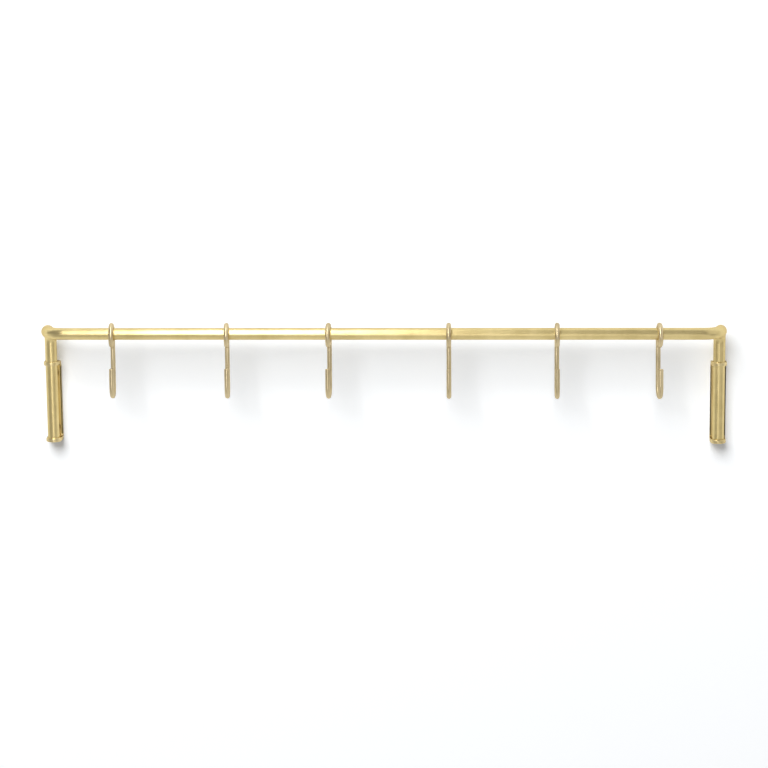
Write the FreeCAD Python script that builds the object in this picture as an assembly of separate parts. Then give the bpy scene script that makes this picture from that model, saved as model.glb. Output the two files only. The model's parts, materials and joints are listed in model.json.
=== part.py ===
# Kitchen utensil rail of solid brass: one bent round bar whose two legs drop into folded wall brackets,
# with bent-wire hooks that swing and slide on the bar.
# Millimetres. X runs along the rail, +Y goes into the wall, +Z is up. The wall is the plane Y = 0, and the
# origin lies on it at the centre of the four screw holes.
import FreeCAD
import Part
import math
import os

# Rail: one round bar, bent back to the wall at each end, and from there in a second bend down into a leg
rail_diameter = 10.0
leg_spacing = 570.0
rail_reach = 29.0
rail_height = 63.0
front_bend_radius = 17.0

# Bracket: one flat strip, folded forward at the top and the bottom
strip_width = 13.0
strip_thickness = 3.5
bracket_height = 70.0
fold_inside_radius = 2.0
leg_to_plate_gap = 2.0
eye_hole_clearance = 0.25
strip_edge_round = 0.8

# Screw holes through each bracket's back plate
screw_spacing = 48.0
screw_hole_diameter = 5.0
countersink_diameter = 10.0
countersink_angle = 90.0

# Hook: one round wire with a closed eye round the rail and an open throat below
wire_diameter = 4.0
eye_inside_diameter = 13.0
throat_inside_diameter = 13.0
hook_height = 64.0
tip_rise = 26.0
eye_on_rail_clearance = 0.3
eye_end_gap = 0.5
wire_end_round = 0.5

# The end hooks hang this far inside the legs, and the others evenly between them.
# Loose hooks settle unevenly: each is slid along the rail and turned a little about the vertical.
end_hook_distance = 55.0
hook_slides = (3.0, 8.5, 2.5, 11.5, 10.0, 3.0)
hook_turns = (4.5, 4.5, -1.0, 1.5, 1.0, 5.0)

# Places that follow from the sizes above
rail_radius = rail_diameter / 2
wire_radius = wire_diameter / 2
leg_y = -(strip_thickness + leg_to_plate_gap + rail_radius)
rail_y = leg_y - rail_reach
leg_bend_radius = rail_reach - front_bend_radius
leg_foot_z = strip_thickness - bracket_height / 2

X_AXIS = FreeCAD.Vector(1, 0, 0)
Y_AXIS = FreeCAD.Vector(0, 1, 0)
Z_AXIS = FreeCAD.Vector(0, 0, 1)
ORIGIN = FreeCAD.Vector(0, 0, 0)


def bent_path(corners, bend_radii):
    """A wire of straight runs through the corners, with a tangent arc of the given radius at each inner one.
    Where two arcs meet there is no run between them."""
    edges = []
    run_start = corners[0]
    for before, corner, after, radius in zip(corners, corners[1:], corners[2:], bend_radii):
        way_in = (corner - before).normalize()
        way_out = (after - corner).normalize()
        half_turn = way_in.getAngle(way_out) / 2
        setback = radius * math.tan(half_turn)
        arc_start = corner - way_in * setback
        arc_end = corner + way_out * setback
        to_centre = (way_out - way_in).normalize()
        arc_middle = corner + to_centre * (radius / math.cos(half_turn) - radius)
        if not run_start.isEqual(arc_start, 1e-6):
            edges.append(Part.LineSegment(run_start, arc_start).toShape())
        edges.append(Part.Arc(arc_start, arc_middle, arc_end).toShape())
        run_start = arc_end
    edges.append(Part.LineSegment(run_start, corners[-1]).toShape())
    return Part.Wire(edges)


def disc(centre, normal, radius):
    """A round section, as a face."""
    return Part.Face(Part.Wire(Part.makeCircle(radius, centre, normal)))


def rail():
    """The bar, from the foot of the left leg, round the front, to the foot of the right leg."""
    half = leg_spacing / 2
    corners = [
        FreeCAD.Vector(-half, leg_y, leg_foot_z),
        FreeCAD.Vector(-half, leg_y, rail_height),
        FreeCAD.Vector(-half, rail_y, rail_height),
        FreeCAD.Vector(half, rail_y, rail_height),
        FreeCAD.Vector(half, leg_y, rail_height),
        FreeCAD.Vector(half, leg_y, leg_foot_z),
    ]
    bends = [leg_bend_radius, front_bend_radius, front_bend_radius, leg_bend_radius]
    return bent_path(corners, bends).makePipe(disc(corners[0], Z_AXIS, rail_radius))


def folded_strip():
    """The strip's rectangular section, swept along its middle line round the two folds."""
    middle_z = bracket_height / 2 - strip_thickness / 2
    middle_y = -strip_thickness / 2
    front_y = leg_y - strip_width / 2
    corners = [
        FreeCAD.Vector(0, front_y, middle_z),
        FreeCAD.Vector(0, middle_y, middle_z),
        FreeCAD.Vector(0, middle_y, -middle_z),
        FreeCAD.Vector(0, front_y, -middle_z),
    ]
    section_corner = FreeCAD.Vector(strip_width / 2, front_y, middle_z - strip_thickness / 2)
    section = Part.makePlane(strip_thickness, strip_width, section_corner, -Y_AXIS, Z_AXIS)
    fold_radius = fold_inside_radius + strip_thickness / 2
    return bent_path(corners, [fold_radius, fold_radius]).makePipe(section)


def flange_outline():
    """The plan of both flanges: straight sides from the wall, and a round front about the leg's axis."""
    half = strip_width / 2
    back_left = FreeCAD.Vector(-half, 0, -bracket_height / 2)
    back_right = FreeCAD.Vector(half, 0, -bracket_height / 2)
    side_left = FreeCAD.Vector(-half, leg_y, -bracket_height / 2)
    side_right = FreeCAD.Vector(half, leg_y, -bracket_height / 2)
    front = FreeCAD.Vector(0, leg_y - half, -bracket_height / 2)
    outline = Part.Wire([
        Part.LineSegment(back_left, side_left).toShape(),
        Part.Arc(side_left, front, side_right).toShape(),
        Part.LineSegment(side_right, back_right).toShape(),
        Part.LineSegment(back_right, back_left).toShape(),
    ])
    return Part.Face(outline).extrude(Z_AXIS * bracket_height)


def screw_hole(z):
    """A round hole through the back plate with a countersink on the side that faces the leg."""
    hole_radius = screw_hole_diameter / 2
    sink_radius = countersink_diameter / 2
    sink_depth = (sink_radius - hole_radius) / math.tan(math.radians(countersink_angle / 2))
    front = FreeCAD.Vector(0, -strip_thickness, z)
    shank = Part.makeCylinder(hole_radius, strip_thickness, front, Y_AXIS)
    return shank.fuse(Part.makeCone(sink_radius, hole_radius, sink_depth, front, Y_AXIS))


def rim_edges(strip):
    """The strip's long edges, where its cut sides and round ends meet its broad faces."""
    half = strip_width / 2
    found = []
    for edge in strip.Edges:
        middle = edge.valueAt((edge.FirstParameter + edge.LastParameter) / 2)
        from_leg = math.hypot(middle.x, middle.y - leg_y)
        on_side = math.isclose(abs(middle.x), half)
        on_round_end = middle.y < leg_y and math.isclose(from_leg, half)
        side_meets_end = math.isclose(middle.y, leg_y)
        if (on_side or on_round_end) and not side_meets_end:
            found.append(edge)
    return found


def bracket():
    """One bracket at X = 0: the folded strip, rounded in plan, with the leg's eye above and two screw holes."""
    strip = folded_strip().common(flange_outline()).removeSplitter().Solids[0]
    strip = strip.makeFillet(strip_edge_round, rim_edges(strip))
    eye_bottom = FreeCAD.Vector(0, leg_y, bracket_height / 2 - strip_thickness)
    eye = Part.makeCylinder(rail_radius + eye_hole_clearance, strip_thickness, eye_bottom, Z_AXIS)
    holes = [screw_hole(screw_spacing / 2), screw_hole(-screw_spacing / 2)]
    return strip.cut([eye] + holes).Solids[0]


def on_circle(centre, radius, degrees):
    """A point in the hook's plane, from the wall side of the circle upwards over its top."""
    angle = math.radians(degrees)
    return centre + Y_AXIS * (radius * math.cos(angle)) + Z_AXIS * (radius * math.sin(angle))


def straight_hook():
    """One hook with an upright shaft, with the rail's axis through its origin."""
    eye_radius = (eye_inside_diameter + wire_diameter) / 2
    throat_radius = (throat_inside_diameter + wire_diameter) / 2
    eye_centre = Z_AXIS * (rail_radius + eye_on_rail_clearance - eye_inside_diameter / 2)
    bottom_z = eye_centre.z + eye_radius + wire_radius - hook_height
    throat_centre = FreeCAD.Vector(0, eye_radius - throat_radius, bottom_z + throat_radius + wire_radius)
    shaft_room = (eye_radius - wire_radius - eye_end_gap) / (eye_radius + wire_radius)
    eye_turn = 360 - math.degrees(math.acos(shaft_room))
    eye_end = on_circle(eye_centre, eye_radius, eye_turn)
    shaft_top = on_circle(eye_centre, eye_radius, 0)
    shaft_foot = on_circle(throat_centre, throat_radius, 0)
    tip_foot = on_circle(throat_centre, throat_radius, 180)
    tip_end = FreeCAD.Vector(0, tip_foot.y, bottom_z + tip_rise)
    path = Part.Wire([
        Part.Arc(eye_end, on_circle(eye_centre, eye_radius, eye_turn / 2), shaft_top).toShape(),
        Part.LineSegment(shaft_top, shaft_foot).toShape(),
        Part.Arc(shaft_foot, on_circle(throat_centre, throat_radius, 270), tip_foot).toShape(),
        Part.LineSegment(tip_foot, tip_end).toShape(),
    ])
    along_eye = on_circle(ORIGIN, 1, eye_turn - 90)
    wire = path.makePipe(disc(eye_end, along_eye, wire_radius))
    cut_ends = [face for face in wire.Faces if isinstance(face.Surface, Part.Plane)]
    rims = [edge for face in cut_ends for edge in face.Edges]
    return wire.makeFillet(wire_end_round, rims).Solids[0]


def hanging_hook():
    """The hook swung about the rail until its centre of mass lies straight under the rail's axis."""
    hook = straight_hook()
    balance = hook.CenterOfMass
    lean = math.degrees(math.atan2(balance.y, -balance.z))
    hook.rotate(ORIGIN, X_AXIS, -lean)
    return hook


def moved(shape, x, y, z, turn=0):
    """A copy, turned about the vertical through its origin and then set at its place."""
    copy = shape.copy()
    copy.rotate(ORIGIN, Z_AXIS, turn)
    copy.translate(FreeCAD.Vector(x, y, z))
    return copy


def all_parts():
    """Every piece at its place, by node name."""
    half = leg_spacing / 2
    wall_bracket = bracket()
    parts = {
        "rail": rail(),
        "left_bracket": moved(wall_bracket, -half, 0, 0),
        "right_bracket": moved(wall_bracket, half, 0, 0),
    }
    hook = hanging_hook()
    first_x = end_hook_distance - half
    pitch = -2 * first_x / (len(hook_slides) - 1)
    for index, (slide, turn) in enumerate(zip(hook_slides, hook_turns)):
        x = first_x + index * pitch + slide
        parts[f"hook_{index + 1}"] = moved(hook, x, rail_y, rail_height, turn)
    return parts


os.makedirs("parts", exist_ok=True)
for node, shape in all_parts().items():
    shape.exportStep(f"parts/{node}.step")
    print(node, shape.isValid(), len(shape.Solids), round(shape.Volume, 1))
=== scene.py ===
import json
import math

import bmesh
import bpy
from mathutils import Euler, Matrix, Vector


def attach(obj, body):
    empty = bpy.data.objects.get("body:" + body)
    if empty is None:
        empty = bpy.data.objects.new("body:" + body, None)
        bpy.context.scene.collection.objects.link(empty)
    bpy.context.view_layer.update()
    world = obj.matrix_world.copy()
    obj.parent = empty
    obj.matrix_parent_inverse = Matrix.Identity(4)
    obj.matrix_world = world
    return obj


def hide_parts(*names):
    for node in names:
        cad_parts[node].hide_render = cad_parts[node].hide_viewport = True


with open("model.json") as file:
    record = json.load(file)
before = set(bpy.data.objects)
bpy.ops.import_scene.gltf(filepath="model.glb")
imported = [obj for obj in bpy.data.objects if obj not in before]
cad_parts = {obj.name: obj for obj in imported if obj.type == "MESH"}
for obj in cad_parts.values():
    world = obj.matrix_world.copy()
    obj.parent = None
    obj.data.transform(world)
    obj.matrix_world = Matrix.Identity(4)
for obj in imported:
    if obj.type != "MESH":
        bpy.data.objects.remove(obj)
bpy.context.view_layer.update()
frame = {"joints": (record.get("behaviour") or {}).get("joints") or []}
scene = bpy.context.scene

# Wall brackets
# Two alike, each one flat brass strip folded forward at the top and the bottom, with half-round ends.
# The upper flange is drilled as an eye for the rail's leg. The back plate has two countersunk holes,
# and is screwed flat to the wall.
leg_spacing = 0.570
leg_out = 0.0105
strip_width = 0.013
strip_thickness = 0.0035
bracket_height = 0.070
fold_inside = 0.002
strip_edge_round = 0.0008
leg_eye_radius = 0.00525
eye_edge_break = 0.0003
screw_height = 0.024
screw_hole_radius = 0.0025
countersink_radius = 0.005
cut_overrun = 0.001
strip_columns = 32
fold_steps = 12
leg_eye_steps = 64
screw_hole_steps = 48
rim_angle = math.radians(60)
sharp_angle = math.radians(40)
quarter_turn = math.pi / 2
weld_distance = 1e-6


def push_faces(bm, faces, way):
    """Extrudes the faces along the way and gives the new ones."""
    grown = bmesh.ops.extrude_face_region(bm, geom=faces)["geom"]
    faces = [part for part in grown if isinstance(part, bmesh.types.BMFace)]
    bmesh.ops.translate(bm, verts=list({v for face in faces for v in face.verts}), vec=way)
    return faces


def fold_faces(bm, faces, centre):
    """Sweeps the faces round one fold of the strip and gives the last ones."""
    swept = bmesh.ops.spin(
        bm,
        geom=faces,
        cent=centre,
        axis=(-1, 0, 0),
        angle=quarter_turn,
        steps=fold_steps,
    )
    return [part for part in swept["geom_last"] if isinstance(part, bmesh.types.BMFace)]


def half_round(faces):
    """Draws a flange's cut end out to its half round about the leg."""
    for vert in {v for face in faces for v in face.verts}:
        depth = (strip_width / 2) ** 2 - vert.co.x ** 2
        vert.co.y = -leg_out - math.sqrt(max(depth, 0))


def folded_strip():
    """The strip from the front of its upper flange, down the plate, to the front of its lower flange."""
    bm = bmesh.new()
    bmesh.ops.create_grid(bm, x_segments=strip_columns, y_segments=1, size=0.5)
    flange_middle = bracket_height / 2 - strip_thickness / 2
    for vert in bm.verts:
        across = math.sin(vert.co.x * math.pi) * strip_width / 2
        vert.co = (across, -leg_out, flange_middle + vert.co.y * strip_thickness)
    cut_end = bm.faces[:]
    fold_y = -strip_thickness - fold_inside
    fold_z = bracket_height / 2 - strip_thickness - fold_inside
    faces = push_faces(bm, cut_end, (0, leg_out + fold_y, 0))
    half_round(cut_end)
    faces = fold_faces(bm, faces, (0, fold_y, fold_z))
    faces = push_faces(bm, faces, (0, 0, -2 * fold_z))
    faces = fold_faces(bm, faces, (0, fold_y, -fold_z))
    faces = push_faces(bm, faces, (0, -leg_out - fold_y, 0))
    half_round(faces)
    bmesh.ops.recalc_face_normals(bm, faces=bm.faces)
    rims = [edge for edge in bm.edges if edge.calc_face_angle(0) > rim_angle]
    bmesh.ops.bevel(
        bm,
        geom=rims,
        offset=strip_edge_round,
        offset_type="OFFSET",
        affect="EDGES",
        segments=6,
        profile=0.5,
        material=-1,
    )
    return bm


def turned_bit(bm, centre, axis, outline, steps):
    """Adds a turned body, from its outline of radius and height along the axis."""
    centre = Vector(centre)
    axis = Vector(axis)
    across = Vector((1, 0, 0))
    verts = [bm.verts.new(centre + across * radius + axis * height) for radius, height in outline]
    edges = [bm.edges.new(pair) for pair in zip(verts, verts[1:])]
    bmesh.ops.spin(
        bm,
        geom=verts + edges,
        cent=centre,
        axis=axis,
        angle=2 * math.pi,
        steps=steps,
        use_merge=True,
    )


def drill():
    """What is drilled out of the strip: the leg's eye with its edges broken, and both screw holes."""
    bm = bmesh.new()
    flare = leg_eye_radius + eye_edge_break + cut_overrun
    eye_outline = [
        (0, cut_overrun),
        (flare, cut_overrun),
        (leg_eye_radius, -eye_edge_break),
        (leg_eye_radius, eye_edge_break - strip_thickness),
        (flare, -strip_thickness - cut_overrun),
        (0, -strip_thickness - cut_overrun),
    ]
    turned_bit(bm, (0, -leg_out, bracket_height / 2), (0, 0, 1), eye_outline, leg_eye_steps)
    screw_outline = [
        (0, -strip_thickness - cut_overrun),
        (countersink_radius + cut_overrun, -strip_thickness - cut_overrun),
        (screw_hole_radius, countersink_radius - screw_hole_radius - strip_thickness),
        (screw_hole_radius, cut_overrun),
        (0, cut_overrun),
    ]
    for height in (screw_height, -screw_height):
        turned_bit(bm, (0, 0, height), (0, 1, 0), screw_outline, screw_hole_steps)
    bmesh.ops.remove_doubles(bm, verts=bm.verts, dist=weld_distance)
    bmesh.ops.recalc_face_normals(bm, faces=bm.faces)
    return bm


def new_object(name, bm):
    """Makes a scene object of a finished bmesh."""
    mesh = bpy.data.meshes.new(name)
    bm.to_mesh(mesh)
    bm.free()
    made = bpy.data.objects.new(name, mesh)
    scene.collection.objects.link(made)
    return made


def drilled_bracket():
    """The mesh of one bracket at X = 0, with its holes cut."""
    strip = new_object("strip", folded_strip())
    bits = new_object("drill_bits", drill())
    cut = strip.modifiers.new("drilled", "BOOLEAN")
    cut.operation = "DIFFERENCE"
    cut.solver = "EXACT"
    cut.object = bits
    cut_strip = strip.evaluated_get(bpy.context.evaluated_depsgraph_get())
    mesh = bpy.data.meshes.new_from_object(cut_strip)
    bpy.data.objects.remove(strip)
    bpy.data.objects.remove(bits)
    bm = bmesh.new()
    bm.from_mesh(mesh)
    bmesh.ops.remove_doubles(bm, verts=bm.verts, dist=weld_distance)
    return bm


def brass(name, clean, tarnished, roughness, grain_source, grain_scale):
    """Solid brass with a lengthwise grain from drawing and polishing, fine pits and a patchy tarnish.
    The grain follows the named attribute, or the piece's own coordinates where there is none."""
    made = bpy.data.materials.new(name)
    made.use_nodes = True
    nodes = made.node_tree.nodes
    links = made.node_tree.links
    shader = nodes["Principled BSDF"]
    shader.inputs["Metallic"].default_value = 1.0
    shader.inputs["Specular Tint"].default_value = (0.8, 0.72, 0.56, 1.0)
    place = nodes.new("ShaderNodeTexCoord")
    if grain_source:
        grain_place = nodes.new("ShaderNodeAttribute")
        grain_place.attribute_name = grain_source
        grain_from = grain_place.outputs["Vector"]
    else:
        grain_from = place.outputs["Object"]

    patches = nodes.new("ShaderNodeTexNoise")
    patches.inputs["Scale"].default_value = 45.0
    patches.inputs["Detail"].default_value = 6.0
    patches.inputs["Roughness"].default_value = 0.62
    links.new(place.outputs["Object"], patches.inputs["Vector"])
    patch_share = nodes.new("ShaderNodeMapRange")
    patch_share.inputs["From Min"].default_value = 0.38
    patch_share.inputs["From Max"].default_value = 0.72
    links.new(patches.outputs["Fac"], patch_share.inputs["Value"])

    stretch = nodes.new("ShaderNodeMapping")
    stretch.inputs["Scale"].default_value = grain_scale
    links.new(grain_from, stretch.inputs["Vector"])
    grain = nodes.new("ShaderNodeTexNoise")
    grain.inputs["Scale"].default_value = 1.0
    grain.inputs["Detail"].default_value = 4.0
    grain.inputs["Roughness"].default_value = 0.6
    links.new(stretch.outputs["Vector"], grain.inputs["Vector"])

    colour = nodes.new("ShaderNodeMix")
    colour.data_type = "RGBA"
    colour.inputs["A"].default_value = (*clean, 1.0)
    colour.inputs["B"].default_value = (*tarnished, 1.0)
    links.new(patch_share.outputs["Result"], colour.inputs["Factor"])
    links.new(colour.outputs["Result"], shader.inputs["Base Color"])

    dullness = nodes.new("ShaderNodeMapRange")
    dullness.inputs["To Min"].default_value = roughness - 0.06
    dullness.inputs["To Max"].default_value = roughness + 0.08
    links.new(grain.outputs["Fac"], dullness.inputs["Value"])
    links.new(dullness.outputs["Result"], shader.inputs["Roughness"])

    pits = nodes.new("ShaderNodeTexNoise")
    pits.inputs["Scale"].default_value = 2200.0
    pits.inputs["Detail"].default_value = 2.0
    links.new(place.outputs["Object"], pits.inputs["Vector"])
    pit_share = 0.3
    relief = nodes.new("ShaderNodeMath")
    relief.operation = "MULTIPLY_ADD"
    relief.inputs[1].default_value = pit_share
    links.new(pits.outputs["Fac"], relief.inputs[0])
    links.new(grain.outputs["Fac"], relief.inputs[2])
    scratches = nodes.new("ShaderNodeBump")
    scratches.inputs["Strength"].default_value = 0.25
    scratches.inputs["Distance"].default_value = 0.00005
    links.new(relief.outputs["Value"], scratches.inputs["Height"])
    links.new(scratches.outputs["Normal"], shader.inputs["Normal"])
    return made


def smooth(piece):
    """Shades a piece smoothly, with its flats kept flat and its cut edges sharp."""
    piece.data.shade_smooth()
    piece.data.set_sharp_from_angle(angle=sharp_angle)
    weighted = piece.modifiers.new("flat_faces", "WEIGHTED_NORMAL")
    weighted.keep_sharp = True


bracket_brass = brass(
    "bracket_brass",
    clean=(0.77, 0.63, 0.33),
    tarnished=(0.62, 0.49, 0.24),
    roughness=0.29,
    grain_source=None,
    grain_scale=(2400.0, 12.0, 12.0),
)
for side, node in ((-1, "left_bracket"), (1, "right_bracket")):
    bracket_mesh = drilled_bracket()
    bmesh.ops.translate(bracket_mesh, verts=bracket_mesh.verts, vec=(side * leg_spacing / 2, 0, 0))
    bracket = new_object("folded_" + node, bracket_mesh)
    bracket.data.materials.append(bracket_brass)
    smooth(bracket)
    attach(bracket, "wall_rail")
    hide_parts(node)

# Rail
# One solid round brass bar: a straight front run, bent back to the wall and down into a leg at each end.
# The legs drop through the bracket eyes and stand on the lower flanges by their own weight.
rail_radius = 0.005
rail_height = 0.063
front_bend = 0.017
leg_bend = 0.012
rail_sides = 64
bend_steps = 20


def follow(bm, end, move, length):
    """Draws a bar on by one step of its end face, and counts the length along it."""
    grown = bmesh.ops.extrude_face_region(bm, geom=[end])["geom"]
    end = next(part for part in grown if isinstance(part, bmesh.types.BMFace))
    bmesh.ops.transform(bm, verts=end.verts[:], matrix=move)
    along = bm.verts.layers.float_vector["along_bar"]
    for vert in end.verts:
        vert[along] = vert[along] + Vector((0, 0, length))
    return end


def straight(bm, end, way):
    """Draws a bar straight on."""
    way = Vector(way)
    return follow(bm, end, Matrix.Translation(way), way.length)


def bent(bm, end, centre, axis, angle, radius, steps):
    """Draws a bar on round a bend."""
    to_centre = Matrix.Translation(centre)
    step = angle / steps
    move = to_centre @ Matrix.Rotation(step, 4, axis) @ to_centre.inverted()
    for _ in range(steps):
        end = follow(bm, end, move, radius * step)
    return end


def round_bar(radius, sides, foot):
    """The start of a round bar: one flat cut end, with each point's own place around the bar kept."""
    bm = bmesh.new()
    bmesh.ops.create_circle(bm, cap_ends=True, radius=radius, segments=sides)
    along = bm.verts.layers.float_vector.new("along_bar")
    for vert in bm.verts:
        vert[along] = vert.co
    bmesh.ops.translate(bm, verts=bm.verts, vec=foot)
    return bm


half_spacing = leg_spacing / 2
leg_foot = strip_thickness - bracket_height / 2
bend_y = -leg_out - leg_bend
bend_z = rail_height - leg_bend
corner_x = half_spacing - front_bend
upright = Vector((0, 0, 1))
level = Vector((1, 0, 0))
left_leg_bend = (-half_spacing, bend_y, bend_z)
left_corner = (-corner_x, bend_y, rail_height)
right_corner = (corner_x, bend_y, rail_height)
right_leg_bend = (half_spacing, bend_y, bend_z)
rail_bar = round_bar(rail_radius, rail_sides, (-half_spacing, -leg_out, leg_foot))
rail_bar.faces.ensure_lookup_table()
end = straight(rail_bar, rail_bar.faces[0], (0, 0, bend_z - leg_foot))
end = bent(rail_bar, end, left_leg_bend, level, quarter_turn, leg_bend, bend_steps)
end = bent(rail_bar, end, left_corner, upright, quarter_turn, front_bend, bend_steps)
end = straight(rail_bar, end, (2 * corner_x, 0, 0))
end = bent(rail_bar, end, right_corner, upright, quarter_turn, front_bend, bend_steps)
end = bent(rail_bar, end, right_leg_bend, -level, quarter_turn, leg_bend, bend_steps)
end = straight(rail_bar, end, (0, 0, leg_foot - bend_z))
bmesh.ops.recalc_face_normals(rail_bar, faces=rail_bar.faces)
rail = new_object("bent_rail", rail_bar)
rail_brass = brass(
    "rail_brass",
    clean=(0.77, 0.625, 0.30),
    tarnished=(0.61, 0.48, 0.21),
    roughness=0.29,
    grain_source="along_bar",
    grain_scale=(2400.0, 2400.0, 12.0),
)
rail.data.materials.append(rail_brass)
smooth(rail)
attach(rail, "wall_rail")
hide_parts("rail")

# Hooks
# Six alike, each one round brass wire: a closed eye round the rail, a straight shaft and an open throat.
# They hang loose on the rail, so each leans until it balances, and is turned a little on the rail.
wire_radius = 0.002
wire_end_round = 0.0005
eye_bend = 0.0085
throat_bend = 0.0085
eye_drop = 0.0012
hook_bottom = -0.0547
tip_rise = 0.026
eye_turn = math.radians(304.85)
hook_lean = math.radians(3.443)
hook_turns = {
    "hook_1": 4.5,
    "hook_2": 4.5,
    "hook_3": -1.0,
    "hook_4": 1.5,
    "hook_5": 1.0,
    "hook_6": 5.0,
}
wire_sides = 32
throat_steps = 32
eye_steps = 54


def wire_hook():
    """One hook with its shaft upright and the rail's axis through the origin."""
    bm = round_bar(wire_radius, wire_sides, (0, eye_bend, -eye_drop))
    bm.faces.ensure_lookup_table()
    shaft_top = bm.faces[0]
    throat_z = hook_bottom + wire_radius + throat_bend
    tip = straight(bm, shaft_top, (0, 0, throat_z + eye_drop))
    tip = bent(bm, tip, (0, 0, throat_z), -level, math.pi, throat_bend, throat_steps)
    tip = straight(bm, tip, (0, 0, hook_bottom + tip_rise - throat_z))
    eye_end = bent(bm, shaft_top, (0, 0, -eye_drop), level, eye_turn, eye_bend, eye_steps)
    bmesh.ops.recalc_face_normals(bm, faces=bm.faces)
    cut_rims = [edge for face in (tip, eye_end) for edge in face.edges]
    bmesh.ops.bevel(
        bm,
        geom=cut_rims,
        offset=wire_end_round,
        offset_type="OFFSET",
        affect="EDGES",
        segments=4,
        profile=0.5,
        material=-1,
    )
    return bm


# The hooks' brass gets darker, greyer colours than the rail's. This is painted shade standing in for the
# duller reflections the thin wire shows.
hook_brass = brass(
    "hook_brass",
    clean=(0.68, 0.56, 0.34),
    tarnished=(0.48, 0.39, 0.23),
    roughness=0.28,
    grain_source="along_bar",
    grain_scale=(2400.0, 2400.0, 12.0),
)
for joint in frame["joints"]:
    node = joint["child"]
    hook_wire = wire_hook()
    on_rail = Matrix.Translation(joint["pos_m"])
    turned = Matrix.Rotation(math.radians(hook_turns[node]), 4, "Z")
    leaning = Matrix.Rotation(-hook_lean, 4, "X")
    bmesh.ops.transform(hook_wire, verts=hook_wire.verts, matrix=on_rail @ turned @ leaning)
    hook = new_object("wire_" + node, hook_wire)
    hook.data.materials.append(hook_brass)
    smooth(hook)
    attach(hook, node)
    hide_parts(node)

# Wall and light
# A plain white wall that carries the brackets, in a pale room, lit by a soft lamp high on the left.
# The brass mirrors a tall lamp in front of the rail, a low one, and grey patches of a wide dome.
# The wall is seen only from its front, so that the rail can be looked at from behind.
wall_reach = 2.0
wall_gap = 0.0003
wall_glow = 0.22
room_fill = 0.12
room_seen = 0.73
dome_radius = 9.0
wall_place = Matrix.Translation((0, wall_gap, 0)) @ Matrix.Rotation(quarter_turn, 4, "X")
wall_mesh = bmesh.new()
bmesh.ops.create_grid(wall_mesh, x_segments=1, y_segments=1, size=wall_reach, matrix=wall_place)
wall = new_object("wall", wall_mesh)


def seen_rays(tree):
    """Gives 1 for the rays that show a surface: directly, mirrored or through something clear."""
    ray = tree.nodes.new("ShaderNodeLightPath")
    seen = ray.outputs["Is Camera Ray"]
    for kind in ("Is Glossy Ray", "Is Transmission Ray"):
        either = tree.nodes.new("ShaderNodeMath")
        either.operation = "MAXIMUM"
        tree.links.new(seen, either.inputs[0])
        tree.links.new(ray.outputs[kind], either.inputs[1])
        seen = either.outputs["Value"]
    return seen


wall_paint = bpy.data.materials.new("wall_paint")
wall_paint.use_nodes = True
paint_nodes = wall_paint.node_tree.nodes
paint_links = wall_paint.node_tree.links
paint = paint_nodes["Principled BSDF"]
paint.inputs["Base Color"].default_value = (0.88, 0.9, 0.92, 1.0)
paint.inputs["Roughness"].default_value = 0.9
paint.inputs["Emission Color"].default_value = (1.0, 1.0, 1.0, 1.0)
glow = paint_nodes.new("ShaderNodeMath")
glow.operation = "MULTIPLY"
glow.inputs[1].default_value = wall_glow
paint_links.new(seen_rays(wall_paint.node_tree), glow.inputs[0])
paint_links.new(glow.outputs["Value"], paint.inputs["Emission Strength"])
side_seen = paint_nodes.new("ShaderNodeNewGeometry")
clear = paint_nodes.new("ShaderNodeBsdfTransparent")
one_sided = paint_nodes.new("ShaderNodeMixShader")
paint_links.new(side_seen.outputs["Backfacing"], one_sided.inputs["Fac"])
paint_links.new(paint.outputs["BSDF"], one_sided.inputs[1])
paint_links.new(clear.outputs["BSDF"], one_sided.inputs[2])
paint_links.new(one_sided.outputs["Shader"], paint_nodes["Material Output"].inputs["Surface"])
wall.data.materials.append(wall_paint)

room = bpy.data.worlds.new("room")
scene.world = room
room.use_nodes = True
room_light = room.node_tree.nodes["Background"]
room_light.inputs["Color"].default_value = (1.0, 1.0, 1.0, 1.0)
room_strength = room.node_tree.nodes.new("ShaderNodeMath")
room_strength.operation = "MULTIPLY_ADD"
room_strength.inputs[1].default_value = room_seen
room_strength.inputs[2].default_value = room_fill
room.node_tree.links.new(seen_rays(room.node_tree), room_strength.inputs[0])
room.node_tree.links.new(room_strength.outputs["Value"], room_light.inputs["Strength"])


def soft_lamp(name, place, target, width, height, watts):
    """A soft box at a place, turned to a target."""
    lamp = bpy.data.lights.new(name, "AREA")
    lamp.shape = "RECTANGLE"
    lamp.size = width
    lamp.size_y = height
    lamp.energy = watts
    box = bpy.data.objects.new(name, lamp)
    box.location = place
    box.rotation_euler = (Vector(target) - Vector(place)).to_track_quat("-Z", "Y").to_euler()
    box.visible_camera = False
    scene.collection.objects.link(box)
    return box


wall_lamp = soft_lamp(
    "wall_lamp",
    place=(-1.05, -3.8, 3.1),
    target=(0, 0, 0),
    width=3.2,
    height=3.2,
    watts=310.0,
)
wall_lamp.visible_glossy = False
front_lamp = soft_lamp(
    "front_lamp",
    place=(-0.215, -0.54, 0.62),
    target=(-0.170, 0.5, -0.16),
    width=0.25,
    height=1.4,
    watts=6.6,
)
front_lamp.visible_diffuse = False
low_lamp = soft_lamp(
    "low_lamp",
    place=(0, -1.7, -0.25),
    target=(0, 0, 0),
    width=0.36,
    height=0.4,
    watts=0.75,
)
low_lamp.visible_diffuse = False


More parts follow.
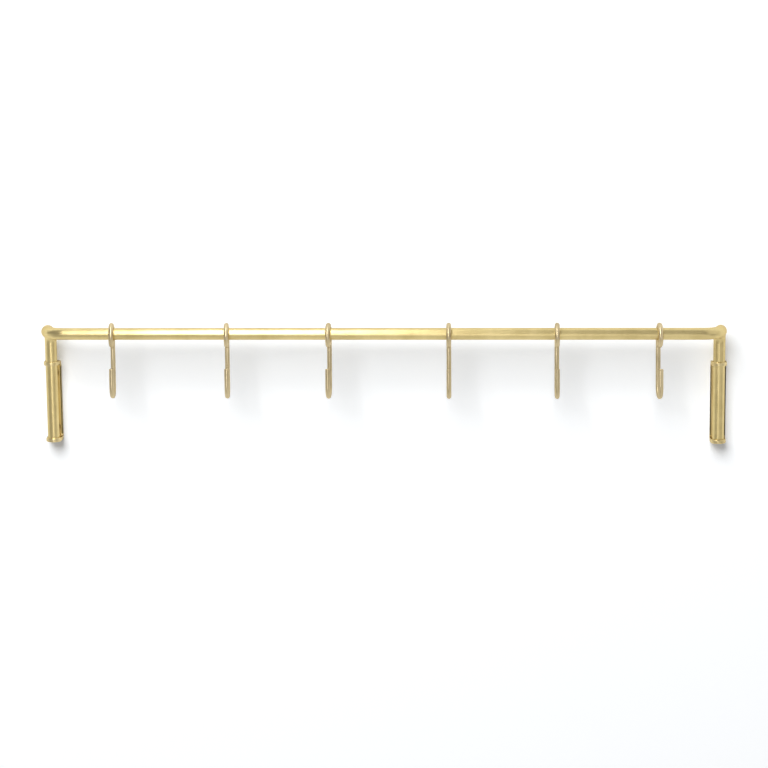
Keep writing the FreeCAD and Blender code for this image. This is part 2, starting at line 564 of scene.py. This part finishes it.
def shade_patch(name, turns, rises, shade):
    """An evenly grey patch of a wide dome round the rail, which the metal shows as its darker side.
    Its turns to the right and its rises are in degrees, seen from the rail's middle."""
    turn_from, turn_to = turns
    rise_from, rise_to = rises
    bm = bmesh.new()
    bmesh.ops.create_grid(bm, x_segments=12, y_segments=12, size=0.5)
    for vert in bm.verts:
        turn = math.radians(turn_from + (vert.co.x + 0.5) * (turn_to - turn_from))
        rise = math.radians(rise_from + (vert.co.y + 0.5) * (rise_to - rise_from))
        level_way = Vector((math.sin(turn), -math.cos(turn), 0))
        vert.co = dome_radius * (level_way * math.cos(rise) + upright * math.sin(rise))
    patch = new_object(name, bm)
    patch_paint = bpy.data.materials.new(name)
    patch_paint.use_nodes = True
    patch_shader = patch_paint.node_tree.nodes["Principled BSDF"]
    patch_shader.inputs["Base Color"].default_value = (0.0, 0.0, 0.0, 1.0)
    patch_shader.inputs["Roughness"].default_value = 0.9
    patch_shader.inputs["Emission Color"].default_value = (shade, shade, shade, 1.0)
    patch_shader.inputs["Emission Strength"].default_value = 1.0
    patch.data.materials.append(patch_paint)
    patch.visible_camera = False
    patch.visible_diffuse = False


shade_patch("left_shade", turns=(-125, -8), rises=(0, 88), shade=0.32)
shade_patch("low_left_shade", turns=(-70, -8), rises=(-45, 0), shade=0.48)
shade_patch("front_shade", turns=(3, 30), rises=(-8, 88), shade=0.34)
shade_patch("low_right_shade", turns=(40, 70), rises=(-28, 0), shade=0.5)

# Camera
# A long lens in front of the rail, a little to its right and above it.
# It looks down at the rail, turned back to its middle.
camera_place = (0.119, -1.977, 0.356)
camera_turn = math.radians(3.43)
camera_pitch = math.radians(9.81)
camera_roll = math.radians(0.53)
lens = bpy.data.cameras.new("camera")
lens.lens = 109.8
lens.sensor_width = 36.0
camera = bpy.data.objects.new("camera", lens)
aim = Euler((quarter_turn - camera_pitch, 0, camera_turn)).to_matrix().to_4x4()
roll = Matrix.Rotation(-camera_roll, 4, "Z")
camera.matrix_world = Matrix.Translation(camera_place) @ aim @ roll
scene.collection.objects.link(camera)
scene.camera = camera
scene.view_settings.view_transform = "Standard"
